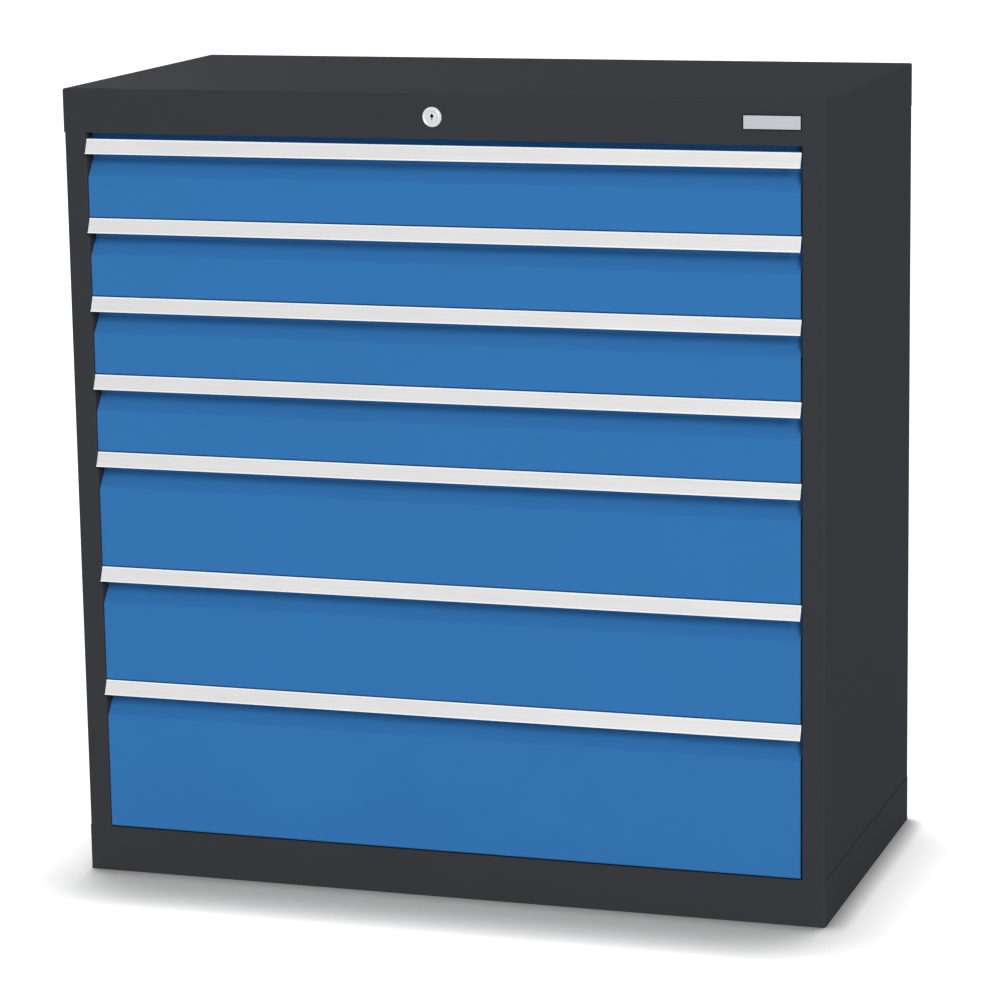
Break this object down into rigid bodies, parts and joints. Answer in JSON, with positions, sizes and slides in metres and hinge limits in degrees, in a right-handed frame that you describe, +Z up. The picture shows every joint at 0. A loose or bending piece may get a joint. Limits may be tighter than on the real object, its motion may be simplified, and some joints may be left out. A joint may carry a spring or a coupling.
{
  "type": "multi-drawer cabinet",
  "caption": "Floor-standing workshop cabinet with full-width drawers on full-extension roller runners, slanted handle strips and one central lock.",
  "frame": {"origin": "under the middle of the whole cabinet, on the surface it stands on", "axes": "+X to the right seen from the front, +Y from the front to the back, +Z up"},
  "size_m": [0.981, 0.503, 1.019],
  "materials": {
    "housing_paint": "anthracite powder coat",
    "upright_zinc": "galvanised sheet",
    "rail_zinc": "bright zinc plated",
    "front_blue": "light blue powder coat",
    "tray_blue": "light blue powder coat",
    "handle_aluminium": "satin anodised",
    "roller_nylon": "natural nylon",
    "lock_nickel": "satin nickel plate",
    "lock_zinc": "zinc plated",
    "plate_aluminium": "brushed, bare"
  },
  "bodies": {
    "housing": {"top_cap": "housing_paint", "left_side_panel": "housing_paint", "right_side_panel": "housing_paint", "rear_panel": "housing_paint", "base_frame": "housing_paint", "floor_panel": "housing_paint", "left_uprights": "upright_zinc", "right_uprights": "upright_zinc", "cabinet_rails": "rail_zinc", "name_plate": "plate_aluminium", "lock_housing": "lock_nickel", "lock_nut": "lock_zinc", "lock_guides": "upright_zinc"},
    "drawer_1": {"drawer_1_tray": "tray_blue", "drawer_1_front": "front_blue", "drawer_1_handle": "handle_aluminium", "drawer_1_rails": "rail_zinc"},
    "drawer_1_runners": {"drawer_1_middle_rails": "rail_zinc", "drawer_1_rollers": "roller_nylon"},
    "drawer_2": {"drawer_2_tray": "tray_blue", "drawer_2_front": "front_blue", "drawer_2_handle": "handle_aluminium", "drawer_2_rails": "rail_zinc"},
    "drawer_2_runners": {"drawer_2_middle_rails": "rail_zinc", "drawer_2_rollers": "roller_nylon"},
    "drawer_3": {"drawer_3_tray": "tray_blue", "drawer_3_front": "front_blue", "drawer_3_handle": "handle_aluminium", "drawer_3_rails": "rail_zinc"},
    "drawer_3_runners": {"drawer_3_middle_rails": "rail_zinc", "drawer_3_rollers": "roller_nylon"},
    "drawer_4": {"drawer_4_tray": "tray_blue", "drawer_4_front": "front_blue", "drawer_4_handle": "handle_aluminium", "drawer_4_rails": "rail_zinc"},
    "drawer_4_runners": {"drawer_4_middle_rails": "rail_zinc", "drawer_4_rollers": "roller_nylon"},
    "drawer_5": {"drawer_5_tray": "tray_blue", "drawer_5_front": "front_blue", "drawer_5_handle": "handle_aluminium", "drawer_5_rails": "rail_zinc"},
    "drawer_5_runners": {"drawer_5_middle_rails": "rail_zinc", "drawer_5_rollers": "roller_nylon"},
    "drawer_6": {"drawer_6_tray": "tray_blue", "drawer_6_front": "front_blue", "drawer_6_handle": "handle_aluminium", "drawer_6_rails": "rail_zinc"},
    "drawer_6_runners": {"drawer_6_middle_rails": "rail_zinc", "drawer_6_rollers": "roller_nylon"},
    "drawer_7": {"drawer_7_tray": "tray_blue", "drawer_7_front": "front_blue", "drawer_7_handle": "handle_aluminium", "drawer_7_rails": "rail_zinc"},
    "drawer_7_runners": {"drawer_7_middle_rails": "rail_zinc", "drawer_7_rollers": "roller_nylon"},
    "lock_core": {"lock_plug": "lock_nickel", "lock_crank": "lock_zinc"},
    "lock_slide_bar": {"lock_slider": "lock_zinc"},
    "lock_hook_bar": {"lock_bar": "lock_zinc", "lock_hooks": "lock_zinc"}
  },
  "joints": [
    {"name": "drawer_1_slide", "type": "slide", "parent": "housing", "child": "drawer_1", "axis": [0, -1, 0], "range_m": [0, 0.4]},
    {"name": "drawer_1_runner_slide", "type": "slide", "parent": "housing", "child": "drawer_1_runners", "axis": [0, -1, 0], "range_m": [0, 0.2]},
    {"name": "drawer_2_slide", "type": "slide", "parent": "housing", "child": "drawer_2", "axis": [0, -1, 0], "range_m": [0, 0.4]},
    {"name": "drawer_2_runner_slide", "type": "slide", "parent": "housing", "child": "drawer_2_runners", "axis": [0, -1, 0], "range_m": [0, 0.2]},
    {"name": "drawer_3_slide", "type": "slide", "parent": "housing", "child": "drawer_3", "axis": [0, -1, 0], "range_m": [0, 0.4]},
    {"name": "drawer_3_runner_slide", "type": "slide", "parent": "housing", "child": "drawer_3_runners", "axis": [0, -1, 0], "range_m": [0, 0.2]},
    {"name": "drawer_4_slide", "type": "slide", "parent": "housing", "child": "drawer_4", "axis": [0, -1, 0], "range_m": [0, 0.4]},
    {"name": "drawer_4_runner_slide", "type": "slide", "parent": "housing", "child": "drawer_4_runners", "axis": [0, -1, 0], "range_m": [0, 0.2]},
    {"name": "drawer_5_slide", "type": "slide", "parent": "housing", "child": "drawer_5", "axis": [0, -1, 0], "range_m": [0, 0.4]},
    {"name": "drawer_5_runner_slide", "type": "slide", "parent": "housing", "child": "drawer_5_runners", "axis": [0, -1, 0], "range_m": [0, 0.2]},
    {"name": "drawer_6_slide", "type": "slide", "parent": "housing", "child": "drawer_6", "axis": [0, -1, 0], "range_m": [0, 0.4]},
    {"name": "drawer_6_runner_slide", "type": "slide", "parent": "housing", "child": "drawer_6_runners", "axis": [0, -1, 0], "range_m": [0, 0.2]},
    {"name": "drawer_7_slide", "type": "slide", "parent": "housing", "child": "drawer_7", "axis": [0, -1, 0], "range_m": [0, 0.4]},
    {"name": "drawer_7_runner_slide", "type": "slide", "parent": "housing", "child": "drawer_7_runners", "axis": [0, -1, 0], "range_m": [0, 0.2]},
    {"name": "lock_turn", "type": "hinge", "parent": "housing", "child": "lock_core", "pos_m": [0, -0.2445, 0.991], "axis": [0, 1, 0], "range_deg": [0, 90]},
    {"name": "lock_slider_slide", "type": "slide", "parent": "housing", "child": "lock_slide_bar", "axis": [-1, 0, 0], "range_m": [0, 0.017]},
    {"name": "lock_bar_drop", "type": "slide", "parent": "housing", "child": "lock_hook_bar", "axis": [0, 0, -1], "range_m": [0, 0.017]}
  ],
  "couplings": [
    {"joint": "drawer_1_runner_slide", "follows": "drawer_1_slide", "ratio": 0.5},
    {"joint": "drawer_2_runner_slide", "follows": "drawer_2_slide", "ratio": 0.5},
    {"joint": "drawer_3_runner_slide", "follows": "drawer_3_slide", "ratio": 0.5},
    {"joint": "drawer_4_runner_slide", "follows": "drawer_4_slide", "ratio": 0.5},
    {"joint": "drawer_5_runner_slide", "follows": "drawer_5_slide", "ratio": 0.5},
    {"joint": "drawer_6_runner_slide", "follows": "drawer_6_slide", "ratio": 0.5},
    {"joint": "drawer_7_runner_slide", "follows": "drawer_7_slide", "ratio": 0.5},
    {"joint": "lock_slider_slide", "follows": "lock_bar_drop", "ratio": 1},
    {"joint": "lock_turn", "follows": "lock_bar_drop", "rad_per_m": 92.39}
  ]
}
